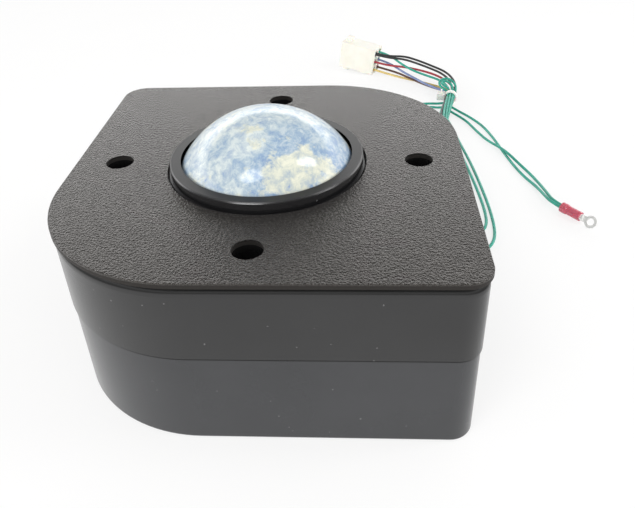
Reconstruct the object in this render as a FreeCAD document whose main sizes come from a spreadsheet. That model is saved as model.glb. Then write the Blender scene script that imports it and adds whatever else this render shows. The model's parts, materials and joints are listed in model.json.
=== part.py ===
# Arcade trackball: a ball on two sensing rollers and an idler, in a two-half housing under a mounting plate.
# Frame: origin on the floor under the ball's centre, X to the right, Y to the back, Z up, millimetres.
import FreeCAD
import Part
import Sketcher
import math
import os
from types import SimpleNamespace

# Driving sizes, in millimetres unless the name says otherwise
SIZES = {
    "plate_side": 152.4,
    "plate_thickness": 2.0,
    "plate_wide_round": 56.0,
    "plate_tight_round": 9.5,
    "plate_edge_round": 0.3,
    "bolt_circle_radius": 58.75,
    "bolt_hole_radius": 5.4,
    "bolt_boss_wall": 2.5,
    "housing_inset": 0.6,
    "lower_step": 0.5,
    "seam_height": 38.5,
    "roof_above_ball_centre": 15.35,
    "side_wall": 2.5,
    "floor_wall": 3.0,
    "roof_wall": 3.0,
    "top_edge_round": 4.0,
    "base_edge_round": 1.2,
    "seam_chamfer": 0.4,
    "ball_diameter": 76.2,
    "ball_height": 53.2,
    "ball_running_gap": 0.3,
    "lip_gap": 1.2,
    "lip_rise": 3.85,
    "lip_width": 4.2,
    "lip_edge_round": 0.6,
    "lip_base_step": 0.6,
    "lip_base_rise": 1.2,
    "window_gap": 0.6,
    "roller_radius": 6.35,
    "roller_length": 28.0,
    "roller_chamfer": 0.6,
    "shaft_radius": 3.175,
    "shaft_overhang": 2.5,
    "fit_gap": 0.05,
    "bearing_spacing": 41.0,
    "bearing_width": 5.0,
    "bearing_outer_radius": 7.94,
    "outer_ring_wall": 1.54,
    "inner_ring_radius": 4.7,
    "shield_gap": 0.3,
    "shield_recess": 0.3,
    "shield_thickness": 0.5,
    "seat_wall": 2.5,
    "seat_flange": 1.5,
    "shaft_tunnel_radius": 4.4,
    "wheel_radius": 17.0,
    "wheel_thickness": 1.2,
    "wheel_offset": 32.0,
    "wheel_hub_radius": 5.2,
    "wheel_hub_length": 6.4,
    "wheel_slots": 36,
    "slot_inner_radius": 11.6,
    "slot_outer_radius": 15.8,
    "slot_width": 1.2,
    "sensor_width": 12.0,
    "sensor_depth": 11.0,
    "sensor_height": 6.0,
    "sensor_spacing": 14.0,
    "sensor_gap": 3.0,
    "sensor_gap_depth": 7.2,
    "sensor_reach": 5.0,
    "board_thickness": 1.6,
    "board_width": 30.0,
    "board_height": 36.0,
    "board_post_width": 6.0,
    "board_post_wall": 2.0,
    "board_post_grip": 6.0,
    "board_slot_overrun": 1.0,
    "spring_thickness": 0.5,
    "spring_width": 6.0,
    "spring_foot": 3.0,
    "spring_rise": 5.0,
    "screw_corner": 63.0,
    "screw_idler_corner": 48.0,
    "screw_exit_corner": 40.0,
    "screw_boss_radius": 5.0,
    "screw_radius": 1.9,
    "screw_head_radius": 3.6,
    "screw_head_height": 2.6,
    "screw_length": 22.0,
    "screw_bridge": 9.0,
    "screw_clearance": 0.3,
    "wire_diameter": 1.6,
    "lead_diameter": 2.6,
    "bundle_diameter": 7.0,
    "grommet_wall": 1.4,
    "grommet_flange": 1.6,
    "grommet_flange_depth": 1.5,
    "grommet_ease": 0.45,
    "tie_width": 2.8,
    "tie_band": 0.9,
    "tie_setback": 5.4,
    "tie_head_length": 5.4,
    "tie_head_width": 5.3,
    "tie_head_height": 4.6,
    "tie_tail_length": 2.2,
    "connector_length": 28.0,
    "connector_width": 14.0,
    "connector_height": 20.3,
    "connector_edge_round": 0.8,
    "contact_pitch": 6.35,
    "contact_entry_radius": 2.3,
    "contact_entry_depth": 7.0,
    "contact_radius": 1.3,
    "contact_setback": 2.0,
    "contact_stub": 1.0,
    "shroud_wall": 1.3,
    "shroud_depth": 9.0,
    "silo_radius": 2.6,
    "silo_setback": 1.0,
    "lug_height": 2.9,
    "lug_width": 6.0,
    "lug_start": 22.0,
    "lug_length": 4.0,
    "lug_slope": 1.45,
    "sleeve_length": 11.5,
    "sleeve_radius": 2.4,
    "sleeve_bore_radius": 1.75,
    "sleeve_mouth_radius": 2.7,
    "sleeve_mouth_length": 3.0,
    "sleeve_mouth_taper": 1.0,
    "barrel_start": 5.2,
    "barrel_length": 7.8,
    "tongue_width": 3.2,
    "tongue_thickness": 0.8,
    "tongue_root": 1.0,
    "ring_radius": 3.2,
    "ring_hole_radius": 1.85,
    "ring_reach": 17.4,
}

doc = FreeCAD.newDocument("arcade_trackball")
sheet = doc.addObject("Spreadsheet::Sheet", "sizes")
for row, (alias, value) in enumerate(SIZES.items(), start=1):
    sheet.set("A%d" % row, alias)
    sheet.set("B%d" % row, str(value))
    sheet.setAlias("B%d" % row, alias)
doc.recompute()


class Formula:
    """A size worked out from the sheet: its value now, and the same sum for the document to follow."""

    def __init__(self, text, value):
        self.text = text
        self.value = value

    def _with(self, other, sign, value):
        return Formula("(%s %s %s)" % (self.text, sign, other.text), value)

    def __add__(self, other):
        other = formula(other)
        return self._with(other, "+", self.value + other.value)

    def __sub__(self, other):
        other = formula(other)
        return self._with(other, "-", self.value - other.value)

    def __mul__(self, other):
        other = formula(other)
        return self._with(other, "*", self.value * other.value)

    def __truediv__(self, other):
        other = formula(other)
        return self._with(other, "/", self.value / other.value)

    def __neg__(self):
        return formula(0) - self


def formula(number):
    """A plain number as a formula, or the formula itself."""
    if isinstance(number, Formula):
        return number
    return Formula(str(float(number)), float(number))


def root(square):
    """The square root of a formula."""
    return Formula("sqrt(%s)" % square.text, math.sqrt(square.value))


dim = SimpleNamespace(**{alias: Formula("sizes." + alias, float(sheet.get(alias))) for alias in SIZES})

# Levels and reaches that several pieces share
ball_radius = dim.ball_diameter / 2
half_plate = dim.plate_side / 2
half_upper = half_plate - dim.housing_inset
half_lower = half_upper - dim.lower_step
housing_top = dim.ball_height + dim.roof_above_ball_centre
upper_height = housing_top - dim.seam_height
plate_top = housing_top + dim.plate_thickness
lip_top = plate_top + dim.lip_rise
ball_space = ball_radius + dim.lip_gap
lip_level = lip_top - dim.ball_height
lip_inner = root(ball_space * ball_space - lip_level * lip_level)
lip_outer = lip_inner + dim.lip_width
lip_base = lip_outer + dim.lip_base_step
contact_reach = ball_radius + dim.ball_running_gap + dim.roller_radius
ball_drop = dim.ball_height - dim.seam_height
shaft_reach = root(contact_reach * contact_reach - ball_drop * ball_drop)
bearing_start = dim.bearing_spacing / 2
bearing_end = bearing_start + dim.bearing_width
shaft_tail = bearing_end + dim.shaft_overhang
boss_radius = dim.bolt_hole_radius + dim.bolt_boss_wall
DIAGONAL = math.sqrt(0.5)

# Each shaft's place: its middle, and the turn that takes its own X axis along it
AXIS_Z = FreeCAD.Vector(0, 0, 1)
AXIS_Y = FreeCAD.Vector(0, 1, 0)
SHAFTS = {
    "x": ((shaft_reach, 0, dim.seam_height), -90),
    "y": ((0, shaft_reach, dim.seam_height), 180),
    "idler": ((-shaft_reach * DIAGONAL, -shaft_reach * DIAGONAL, dim.seam_height), -45),
}
# The pieces beside a shaft lie outside it, so the y set is the x set turned over
OUTWARD_TURNS = {
    "x": FreeCAD.Rotation(AXIS_Z, -90),
    "y": FreeCAD.Rotation(AXIS_Y, 180),
    "idler": FreeCAD.Rotation(AXIS_Z, -45),
}


def bind(item, path, value):
    """Tie one property of a document object to a formula."""
    item.setExpression(path, formula(value).text)


def place(item, at, turn, prefix="Placement"):
    """Turn an object, then tie its position to formulas."""
    spot = FreeCAD.Vector(*[formula(part).value for part in at])
    setattr(item, prefix, FreeCAD.Placement(spot, turn))
    for letter, part in zip("xyz", at):
        if isinstance(part, Formula):
            bind(item, "%s.Base.%s" % (prefix, letter), part)


def new_body(name):
    """An empty body whose label names its file."""
    body = doc.addObject("PartDesign::Body", name)
    body.Label = name
    return body


def attach(item, body, role="XY_Plane", at=(0, 0, 0), turn=FreeCAD.Rotation()):
    """Hold a sketch or a primitive on one of its body's origin planes."""
    plane = [part for part in body.Origin.OriginFeatures if part.Role == role][0]
    item.AttachmentSupport = (plane, [""])
    item.MapMode = "FlatFace"
    place(item, at, turn, "AttachmentOffset")


def new_sketch(body, name, role="XY_Plane", at=(0, 0, 0), turn=FreeCAD.Rotation()):
    sketch = body.newObject("Sketcher::SketchObject", name)
    attach(sketch, body, role, at, turn)
    return sketch


def hold(sketch, kind, *where, value):
    """Add one dimension to a sketch and tie it to a formula."""
    index = sketch.addConstraint(Sketcher.Constraint(kind, *where, formula(value).value))
    bind(sketch, "Constraints[%d]" % index, value)


def corner(x, y):
    return FreeCAD.Vector(formula(x).value, formula(y).value, 0)


def draw_profile(sketch, points):
    """A closed outline of straight lines, each corner held at its own place."""
    first = sketch.GeometryCount
    count = len(points)
    for index, point in enumerate(points):
        following = points[(index + 1) % count]
        sketch.addGeometry(Part.LineSegment(corner(*point), corner(*following)))
    for index, (x, y) in enumerate(points):
        line = first + index
        sketch.addConstraint(Sketcher.Constraint("Coincident", line, 2, first + (index + 1) % count, 1))
        hold(sketch, "DistanceX", -1, 1, line, 1, value=x)
        hold(sketch, "DistanceY", -1, 1, line, 1, value=y)


def draw_rectangle(sketch, left, front, right, back):
    draw_profile(sketch, [(left, front), (right, front), (right, back), (left, back)])


def draw_circle(sketch, x, y, radius):
    disc = Part.Circle(corner(x, y), AXIS_Z, formula(radius).value)
    index = sketch.addGeometry(disc)
    hold(sketch, "DistanceX", -1, 1, index, 3, value=x)
    hold(sketch, "DistanceY", -1, 1, index, 3, value=y)
    hold(sketch, "Radius", index, value=radius)


def draw_outline(sketch, half, inset):
    """The trackball's outline: a square with two opposite corners widely rounded and two tightly."""
    wide = dim.plate_wide_round - inset
    tight = dim.plate_tight_round - inset
    edge = half.value
    # Front, right, back and left sides, each followed by the corner after it
    sides = [(0, -1, wide, tight), (1, 0, tight, wide), (0, 1, wide, tight), (-1, 0, tight, wide)]
    for out_x, out_y, before, after in sides:
        middle = FreeCAD.Vector(out_x * edge, out_y * edge, 0)
        along = FreeCAD.Vector(-out_y, out_x, 0)
        start = middle - along * (edge - before.value)
        end = middle + along * (edge - after.value)
        sketch.addGeometry(Part.LineSegment(start, end))
        hub = end - FreeCAD.Vector(out_x, out_y, 0) * after.value
        start_angle = math.atan2(out_y, out_x)
        ring = Part.Circle(hub, AXIS_Z, after.value)
        sketch.addGeometry(Part.ArcOfCircle(ring, start_angle, start_angle + math.pi / 2))
    for index in range(8):
        sketch.addConstraint(Sketcher.Constraint("Tangent", index, 2, (index + 1) % 8, 1))
    for line, kind in ((0, "Horizontal"), (4, "Horizontal"), (2, "Vertical"), (6, "Vertical")):
        sketch.addConstraint(Sketcher.Constraint(kind, line))
    sketch.addConstraint(Sketcher.Constraint("Equal", 1, 5))
    sketch.addConstraint(Sketcher.Constraint("Equal", 3, 7))
    hold(sketch, "Radius", 1, value=tight)
    hold(sketch, "Radius", 3, value=wide)
    hold(sketch, "DistanceY", -1, 1, 0, 1, value=-half)
    hold(sketch, "DistanceX", -1, 1, 2, 1, value=half)
    hold(sketch, "DistanceY", -1, 1, 4, 1, value=half)
    hold(sketch, "DistanceX", -1, 1, 6, 1, value=-half)


def pad(body, sketch, length, reverse=False):
    feature = body.newObject("PartDesign::Pad", sketch.Name + "_pad")
    feature.Profile = sketch
    feature.Reversed = reverse
    bind(feature, "Length", length)
    doc.recompute()
    return feature


def must_cut(body, before, name):
    """Stop if a cut took nothing away."""
    if body.Shape.Volume > before - 1e-3:
        raise RuntimeError(name + " cuts nothing")


def pocket(body, sketch, depth, reverse=False):
    before = body.Shape.Volume
    feature = body.newObject("PartDesign::Pocket", sketch.Name + "_pocket")
    feature.Profile = sketch
    feature.Reversed = reverse
    bind(feature, "Length", depth)
    doc.recompute()
    must_cut(body, before, feature.Name)
    return feature


def turn_profile(body, sketch, axis="H_Axis", cut=False):
    """Revolve a sketch about one of its own axes, to add a turned form or to cut one."""
    before = body.Shape.Volume if cut else 0
    kind = "PartDesign::Groove" if cut else "PartDesign::Revolution"
    feature = body.newObject(kind, sketch.Name + "_turned")
    feature.Profile = sketch
    feature.ReferenceAxis = (sketch, [axis])
    feature.Angle = 360
    doc.recompute()
    if cut:
        must_cut(body, before, feature.Name)
    return feature


def repeat_round(body, feature, sketch, count):
    """Repeat a feature round its sketch's normal."""
    pattern = body.newObject("PartDesign::PolarPattern", feature.Name + "_round")
    pattern.Originals = [feature]
    pattern.Axis = (sketch, ["N_Axis"])
    pattern.Angle = 360
    bind(pattern, "Occurrences", count)
    body.Tip = pattern
    doc.recompute()
    return pattern


def edges_at(shape, height):
    """Names of the edges that lie flat at one height."""
    names = []
    for index, edge in enumerate(shape.Edges, start=1):
        box = edge.BoundBox
        if abs(box.ZMin - height) < 1e-6 and abs(box.ZMax - height) < 1e-6:
            names.append("Edge%d" % index)
    return names


def dress(body, kind, prop, height, amount):
    """Round or chamfer the edges that lie at one height."""
    base = body.Tip
    feature = body.newObject("PartDesign::" + kind, "%s_%s" % (base.Name, kind.lower()))
    feature.Base = (base, edges_at(base.Shape, formula(height).value))
    bind(feature, prop, amount)
    doc.recompute()
    return feature


def group(name, pieces):
    """Several like solids in one node."""
    node = doc.addObject("Part::Compound", name)
    node.Label = name
    node.Links = pieces
    doc.recompute()
    return node


nodes = []


def keep(node):
    nodes.append(node)
    return node


def make_plate():
    body = new_body("mounting_plate")
    sketch = new_sketch(body, "plate_outline", at=(0, 0, housing_top))
    draw_outline(sketch, half_plate, 0)
    draw_circle(sketch, 0, 0, lip_base + dim.window_gap)
    pad(body, sketch, dim.plate_thickness)
    dress(body, "Fillet", "Radius", plate_top, dim.plate_edge_round)
    drill_bolt_holes(body, "plate_bolt", plate_top, dim.plate_thickness)
    return body


def drill_bolt_holes(body, name, top, depth):
    """The four mounting bolts pass straight through plate and housing."""
    sketch = new_sketch(body, name, at=(0, 0, top))
    draw_circle(sketch, dim.bolt_circle_radius, 0, dim.bolt_hole_radius)
    repeat_round(body, pocket(body, sketch, depth), sketch, 4)


def screw_places():
    """The case screws stand in the two tight corners, beside the idler and beside the harness exit."""
    return [
        (dim.screw_corner, -dim.screw_corner),
        (-dim.screw_corner, dim.screw_corner),
        (-dim.screw_idler_corner, -dim.screw_idler_corner),
        (dim.screw_exit_corner, dim.screw_exit_corner),
    ]


def draw_screw_circles(sketch, radius):
    for x, y in screw_places():
        draw_circle(sketch, x, y, radius)


def add_bearing_seats(body, prefix, length, downward):
    """Two blocks for each shaft, cut to the bearings' size on the seam so each half holds half a bearing."""
    inner = bearing_start - dim.seat_flange
    outer = bearing_end + dim.seat_flange
    side = dim.bearing_outer_radius + dim.seat_wall
    for shaft, (at, yaw) in SHAFTS.items():
        turn = FreeCAD.Rotation(AXIS_Z, yaw)
        sketch = new_sketch(body, "%s_%s_seats" % (prefix, shaft), at=at, turn=turn)
        draw_rectangle(sketch, inner, -side, outer, side)
        draw_rectangle(sketch, -outer, -side, -inner, side)
        pad(body, sketch, length, downward)


def cut_bearing_seats(body, prefix):
    """Bearing pockets with a narrower shaft tunnel on both sides of each."""
    tunnel = dim.shaft_tunnel_radius
    seat = dim.bearing_outer_radius + dim.fit_gap
    near = bearing_start - dim.fit_gap
    far = bearing_end + dim.fit_gap
    end = shaft_tail + dim.seat_flange
    right = [(near, tunnel), (near, seat), (far, seat), (far, tunnel), (end, tunnel), (end, 0)]
    left = [(-x, y) for x, y in reversed(right)]
    for shaft, (at, yaw) in SHAFTS.items():
        turn = FreeCAD.Rotation(AXIS_Z, yaw)
        sketch = new_sketch(body, "%s_%s_pockets" % (prefix, shaft), at=at, turn=turn)
        draw_profile(sketch, left + right)
        turn_profile(body, sketch, cut=True)


# The harness leaves through the widely rounded back right corner, square to the wall
corner_round = dim.plate_wide_round - dim.housing_inset
exit_reach = (half_upper - corner_round) / DIAGONAL + corner_round
exit_hole_radius = dim.bundle_diameter / 2 + dim.grommet_wall
EXIT_TURN = FreeCAD.Rotation(FreeCAD.Vector(0, 0, 1), FreeCAD.Vector(1, 1, 0))


def cut_harness_exit(body, name):
    """Half of the round harness hole, on the seam."""
    before = body.Shape.Volume
    inside = exit_reach - dim.side_wall * 3
    hole = body.newObject("PartDesign::SubtractiveCylinder", name)
    attach(hole, body, at=(inside * DIAGONAL, inside * DIAGONAL, dim.seam_height), turn=EXIT_TURN)
    bind(hole, "Radius", exit_hole_radius)
    bind(hole, "Height", dim.side_wall * 6)
    doc.recompute()
    must_cut(body, before, name)


def make_upper_housing():
    body = new_body("upper_housing")
    seam = (0, 0, dim.seam_height)
    sketch = new_sketch(body, "upper_outline", at=seam)
    draw_outline(sketch, half_upper, dim.housing_inset)
    pad(body, sketch, upper_height)
    dress(body, "Fillet", "Radius", housing_top, dim.top_edge_round)
    dress(body, "Chamfer", "Size", dim.seam_height, dim.seam_chamfer)

    hollow = new_sketch(body, "upper_hollow", at=seam)
    draw_outline(hollow, half_upper - dim.side_wall, dim.housing_inset + dim.side_wall)
    pocket(body, hollow, upper_height - dim.roof_wall, reverse=True)

    stand = upper_height - dim.roof_wall / 2
    bosses = new_sketch(body, "upper_bosses", at=seam)
    draw_circle(bosses, dim.bolt_circle_radius, 0, boss_radius)
    repeat_round(body, pad(body, bosses, stand), bosses, 4)
    posts = new_sketch(body, "upper_screw_posts", at=seam)
    draw_screw_circles(posts, dim.screw_boss_radius)
    pad(body, posts, stand)
    add_bearing_seats(body, "upper", stand, downward=False)

    lip = new_sketch(body, "lip_section", role="XZ_Plane")
    low = housing_top - dim.roof_wall / 2
    rim = lip_outer - dim.lip_edge_round
    draw_profile(lip, [
        (0, low),
        (lip_base, low),
        (lip_base, housing_top + dim.lip_base_rise),
        (lip_outer, housing_top + dim.lip_base_rise),
        (lip_outer, lip_top - dim.lip_edge_round),
        (rim, lip_top),
        (0, lip_top),
    ])
    turn_profile(body, lip, "V_Axis")

    before = body.Shape.Volume
    hollow_ball = body.newObject("PartDesign::SubtractiveSphere", "ball_space")
    attach(hollow_ball, body, at=(0, 0, dim.ball_height))
    bind(hollow_ball, "Radius", ball_space)
    doc.recompute()
    must_cut(body, before, "ball_space")

    cut_bearing_seats(body, "upper")
    drill_bolt_holes(body, "upper_bolt", housing_top, upper_height)
    pilots = new_sketch(body, "upper_pilots", at=seam)
    draw_screw_circles(pilots, dim.screw_radius + dim.fit_gap)
    pocket(body, pilots, dim.screw_length - dim.screw_bridge + dim.screw_clearance, reverse=True)
    cut_harness_exit(body, "upper_exit")
    return body


def make_lower_housing():
    body = new_body("lower_housing")
    sketch = new_sketch(body, "lower_outline")
    inset = dim.housing_inset + dim.lower_step
    draw_outline(sketch, half_lower, inset)
    pad(body, sketch, dim.seam_height)
    dress(body, "Fillet", "Radius", 0, dim.base_edge_round)

    hollow = new_sketch(body, "lower_hollow", at=(0, 0, dim.seam_height))
    draw_outline(hollow, half_lower - dim.side_wall, inset + dim.side_wall)
    pocket(body, hollow, dim.seam_height - dim.floor_wall)

    bosses = new_sketch(body, "lower_bosses", at=(0, 0, dim.floor_wall / 2))
    stand = dim.seam_height - dim.floor_wall / 2
    draw_circle(bosses, dim.bolt_circle_radius, 0, boss_radius)
    repeat_round(body, pad(body, bosses, stand), bosses, 4)
    posts = new_sketch(body, "lower_screw_posts", at=(0, 0, dim.floor_wall / 2))
    draw_screw_circles(posts, dim.screw_boss_radius)
    pad(body, posts, stand)
    add_bearing_seats(body, "lower", stand, downward=True)
    add_board_posts(body)
    cut_bearing_seats(body, "lower")

    drill_bolt_holes(body, "lower_bolt", dim.seam_height, dim.seam_height)
    shanks = new_sketch(body, "lower_screw_holes", at=(0, 0, dim.seam_height))
    draw_screw_circles(shanks, dim.screw_radius + dim.screw_clearance)
    pocket(body, shanks, dim.seam_height)
    heads = new_sketch(body, "lower_screw_wells")
    draw_screw_circles(heads, dim.screw_head_radius + dim.screw_clearance)
    pocket(body, heads, dim.seam_height - dim.screw_bridge, reverse=True)
    cut_harness_exit(body, "lower_exit")
    return body


# An encoder board stands outside its wheel, in slotted posts on the floor
board_inner = dim.wheel_radius - dim.sensor_reach + dim.sensor_depth
board_outer = board_inner + dim.board_thickness
board_near = dim.wheel_offset - dim.board_width / 2
board_far = dim.wheel_offset + dim.board_width / 2
board_bottom = dim.seam_height - dim.board_height / 2


def add_board_posts(body):
    """A pair of slotted posts for each encoder board."""
    top = board_bottom + dim.board_post_grip
    inner = board_inner - dim.board_post_wall
    outer = board_outer + dim.board_post_wall
    for shaft, sign in (("x", 1), ("y", -1)):
        (x, y, _), yaw = SHAFTS[shaft]
        turn = FreeCAD.Rotation(AXIS_Z, yaw)
        posts = new_sketch(body, shaft + "_board_posts", at=(x, y, dim.floor_wall / 2), turn=turn)
        slots = new_sketch(body, shaft + "_board_slots", at=(x, y, top), turn=turn)
        sides = sorted([inner * sign, outer * sign], key=lambda side: side.value)
        for start in (board_near, board_far - dim.board_post_width):
            draw_rectangle(posts, start, sides[0], start + dim.board_post_width, sides[1])
        pad(body, posts, top - dim.floor_wall / 2)
        gap = [(board_inner - dim.fit_gap) * sign, (board_outer + dim.fit_gap) * sign]
        gap.sort(key=lambda side: side.value)
        overrun = dim.board_slot_overrun
        draw_rectangle(slots, board_near - overrun, gap[0], board_far + overrun, gap[1])
        pocket(body, slots, dim.board_post_grip)


def turned_piece(name, shaft, points):
    """A piece turned about its shaft, drawn as distance along the shaft and radius."""
    body = new_body(name)
    sketch = new_sketch(body, name + "_section")
    draw_profile(sketch, points)
    turn_profile(body, sketch)
    place(body, SHAFTS[shaft][0], OUTWARD_TURNS[shaft])
    return body


def make_roller(name, shaft, far_end):
    """A steel shaft with the roller that the ball runs on turned in its middle."""
    half = dim.roller_length / 2
    rim = dim.roller_radius - dim.roller_chamfer
    shoulder = half - dim.roller_chamfer
    return turned_piece(name, shaft, [
        (-shaft_tail, 0),
        (-shaft_tail, dim.shaft_radius),
        (-half, dim.shaft_radius),
        (-half, rim),
        (-shoulder, dim.roller_radius),
        (shoulder, dim.roller_radius),
        (half, rim),
        (half, dim.shaft_radius),
        (far_end, dim.shaft_radius),
        (far_end, 0),
    ])


def make_inner_ring(name, shaft, start):
    bore = dim.shaft_radius + dim.fit_gap / 2
    end = start + dim.bearing_width
    ring = dim.inner_ring_radius
    return turned_piece(name, shaft, [(start, bore), (start, ring), (end, ring), (end, bore)])


def make_outer_ring(name, shaft, start):
    """An outer ring with its two shields, which stop just short of the inner ring."""
    end = start + dim.bearing_width
    race = dim.bearing_outer_radius - dim.outer_ring_wall
    shield = dim.inner_ring_radius + dim.shield_gap
    face = dim.shield_recess
    back = face + dim.shield_thickness
    return turned_piece(name, shaft, [
        (start, race),
        (start, dim.bearing_outer_radius),
        (end, dim.bearing_outer_radius),
        (end, race),
        (end - face, race),
        (end - face, shield),
        (end - back, shield),
        (end - back, race),
        (start + back, race),
        (start + back, shield),
        (start + face, shield),
        (start + face, race),
    ])


def make_wheel(name, shaft):
    """A slotted encoder wheel on a hub, pressed on the shaft's long end."""
    bore = dim.shaft_radius + dim.fit_gap / 2
    near = dim.wheel_offset - dim.wheel_thickness / 2
    far = near + dim.wheel_thickness
    hub_near = dim.wheel_offset - dim.wheel_hub_length / 2
    hub_far = hub_near + dim.wheel_hub_length
    body = turned_piece(name, shaft, [
        (hub_near, bore),
        (hub_near, dim.wheel_hub_radius),
        (near, dim.wheel_hub_radius),
        (near, dim.wheel_radius),
        (far, dim.wheel_radius),
        (far, dim.wheel_hub_radius),
        (hub_far, dim.wheel_hub_radius),
        (hub_far, bore),
    ])
    slot = new_sketch(body, name + "_slot", role="YZ_Plane", at=(0, 0, far))
    half = dim.slot_width / 2
    draw_rectangle(slot, dim.slot_inner_radius, -half, dim.slot_outer_radius, half)
    repeat_round(body, pocket(body, slot, dim.wheel_thickness), slot, dim.wheel_slots)
    return body


def make_board(name, shaft):
    body = new_body(name)
    sketch = new_sketch(body, name + "_outline", at=(0, 0, -dim.board_height / 2))
    draw_rectangle(sketch, board_near, board_inner, board_far, board_outer)
    pad(body, sketch, dim.board_height)
    place(body, SHAFTS[shaft][0], OUTWARD_TURNS[shaft])
    return body


def make_sensors(name, shaft):
    """Two slotted light sensors, one above and one below the shaft, that the wheel's rim runs through."""
    front = board_inner - dim.sensor_depth
    jaw = dim.sensor_gap / 2
    half = dim.sensor_width / 2
    middle = dim.wheel_offset
    pieces = []
    for tag, centre in (("upper", dim.sensor_spacing / 2), ("lower", -dim.sensor_spacing / 2)):
        body = new_body("%s_%s" % (name, tag))
        sketch = new_sketch(body, "%s_%s_outline" % (name, tag), at=(0, 0, centre - dim.sensor_height / 2))
        draw_profile(sketch, [
            (middle - half, front),
            (middle - jaw, front),
            (middle - jaw, front + dim.sensor_gap_depth),
            (middle + jaw, front + dim.sensor_gap_depth),
            (middle + jaw, front),
            (middle + half, front),
            (middle + half, board_inner),
            (middle - half, board_inner),
        ])
        pad(body, sketch, dim.sensor_height)
        place(body, SHAFTS[shaft][0], OUTWARD_TURNS[shaft])
        pieces.append(body)
    return group(name, pieces)


def make_ground_spring(name, shaft):
    """A bent strip from the floor to the end of a shaft, which drains static from the roller."""
    face = -shaft_tail - dim.ball_running_gap
    back = face - dim.spring_thickness
    floor = dim.floor_wall - dim.seam_height
    body = new_body(name)
    sketch = new_sketch(body, name + "_section", role="XZ_Plane", at=(0, 0, -dim.spring_width / 2))
    draw_profile(sketch, [
        (face, floor),
        (face, dim.spring_rise),
        (back, dim.spring_rise),
        (back, floor + dim.spring_thickness),
        (back - dim.spring_foot, floor + dim.spring_thickness),
        (back - dim.spring_foot, floor),
    ])
    pad(body, sketch, dim.spring_width)
    place(body, SHAFTS[shaft][0], FreeCAD.Rotation(AXIS_Z, SHAFTS[shaft][1]))
    return body


def make_case_screw(name, x, y):
    """A pan head screw whose head seats at the top of its well in the lower housing."""
    seat = dim.seam_height - dim.screw_bridge
    tip = seat + dim.screw_length
    body = new_body(name)
    sketch = new_sketch(body, name + "_section", role="XZ_Plane")
    draw_profile(sketch, [
        (0, seat - dim.screw_head_height),
        (dim.screw_head_radius - dim.screw_radius / 2, seat - dim.screw_head_height),
        (dim.screw_head_radius, seat - dim.screw_head_height / 2),
        (dim.screw_head_radius, seat),
        (dim.screw_radius, seat),
        (dim.screw_radius, tip - dim.screw_radius),
        (0, tip),
    ])
    turn_profile(body, sketch, "V_Axis")
    place(body, (x, y, 0), FreeCAD.Rotation())
    return body


keep(make_plate())
keep(make_upper_housing())
keep(make_lower_housing())

ball = keep(doc.addObject("Part::Sphere", "ball"))
bind(ball, "Radius", ball_radius)
place(ball, (0, 0, dim.ball_height), FreeCAD.Rotation())

wheel_shaft_end = dim.wheel_offset + dim.wheel_hub_length / 2 + dim.shaft_overhang / 2
FAR_ENDS = {"x": wheel_shaft_end, "y": wheel_shaft_end, "idler": shaft_tail}
outer_rings = []
for side, end in FAR_ENDS.items():
    keep(make_roller(side + "_roller", side, end))
    inner_rings = []
    for tag, start in (("near", -bearing_end), ("far", bearing_start)):
        inner_rings.append(make_inner_ring("%s_inner_ring_%s" % (side, tag), side, start))
        outer_rings.append(make_outer_ring("%s_outer_ring_%s" % (side, tag), side, start))
    keep(group(side + "_bearing_inner_rings", inner_rings))
keep(group("bearing_outer_rings", outer_rings))

for side in ("x", "y"):
    keep(make_wheel(side + "_encoder_wheel", side))
    keep(make_board(side + "_encoder_board", side))
    keep(make_sensors(side + "_light_sensors", side))
keep(group("ground_springs", [make_ground_spring(side + "_ground_spring", side) for side in SHAFTS]))
screws = [make_case_screw("case_screw_%d" % number, *spot) for number, spot in enumerate(screw_places(), 1)]
keep(group("case_screws", screws))


# The harness: points chosen to follow the wires as they lie on the floor behind and beside the housing
SEAM = dim.seam_height.value
BUNDLE_ROUTE = [
    (54.4, 54.4, SEAM), (66.5, 66.5, SEAM), (78.5, 79.5, 32.4), (86, 93.5, 20), (89.8, 110, 8.8),
    (90.6, 130, 4), (89.3, 153, 3.7), (91.4, 177, 3.6), (96.6, 198.5, 3.9), (102.5, 219, 4.8),
]
# A lead leaves the near edge of its board, passes outside the bolt boss and joins the bundle at the exit
BOARD_MIDDLE = (shaft_reach + board_inner + dim.board_thickness / 2).value
BOARD_EDGE = (dim.fit_gap * 2 - board_near).value
X_LEAD_ROUTE = [
    (BOARD_MIDDLE, BOARD_EDGE, SEAM), (BOARD_MIDDLE + 0.25, BOARD_EDGE + 6, SEAM), (68.9, -2, SEAM),
    (68.4, 9, SEAM), (65.9, 19.2, SEAM), (61.2, 28.4, SEAM),
    (54.8, 37.5, SEAM), (51.3, 46, SEAM), (55.6, 53.6, SEAM),
]
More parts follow.
